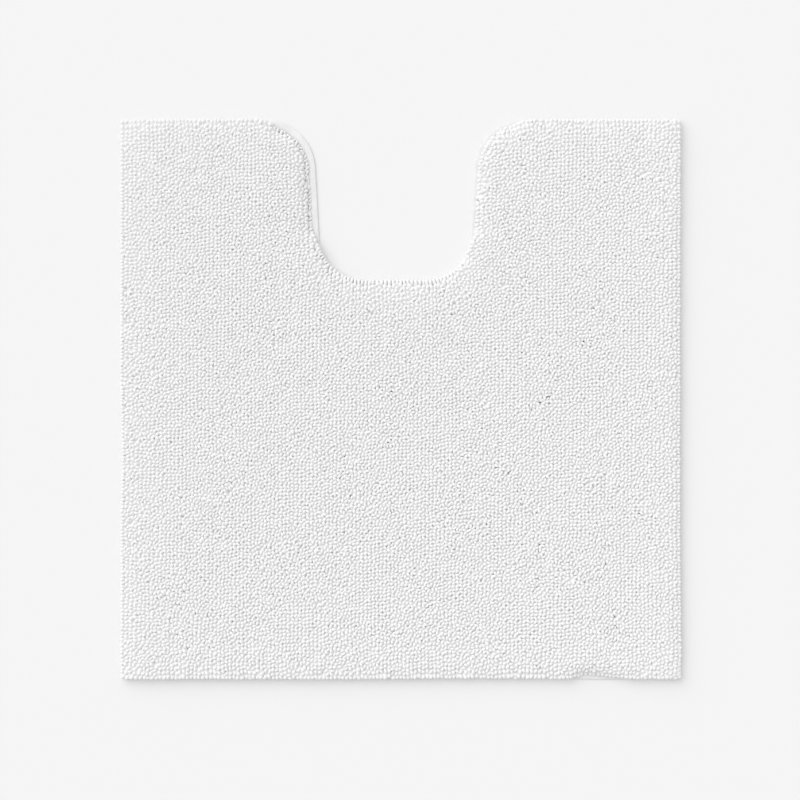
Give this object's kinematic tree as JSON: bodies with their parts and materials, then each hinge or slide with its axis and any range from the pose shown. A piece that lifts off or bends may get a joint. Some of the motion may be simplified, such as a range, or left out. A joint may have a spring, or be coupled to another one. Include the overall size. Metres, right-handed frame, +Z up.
{
  "type": "bath mat",
  "caption": "Square white loop-pile cotton bath mat with a U-shaped cutout in its back edge for a toilet foot, bound edges and an anti-slip underside.",
  "frame": {"origin": "middle of the underside, where the mat rests on the floor", "axes": "+Z is up, through the pile; +Y is the back edge with the cutout, on the toilet's side; +X is to the right of someone who stands on the front edge and faces the toilet"},
  "size_m": [0.61, 0.61, 0.0125],
  "materials": {
    "pile_cotton": "matte",
    "backing_cloth": "matte",
    "binding_cotton": "matte",
    "latex": "satin",
    "thread": "satin",
    "label_satin": "satin"
  },
  "bodies": {
    "root": {"loop_pile": "pile_cotton", "backing_cloth": "backing_cloth", "latex_coat": "latex", "binding_left": "binding_cotton", "binding_right": "binding_cotton", "binding_front": "binding_cotton", "binding_back_left": "binding_cotton", "binding_back_right": "binding_cotton", "binding_cutout": "binding_cotton", "seam_left": "thread", "seam_right": "thread", "seam_front": "thread", "seam_back_left": "thread", "seam_back_right": "thread", "seam_cutout": "thread", "care_label": "label_satin", "label_seam": "thread"}
  },
  "joints": []
}
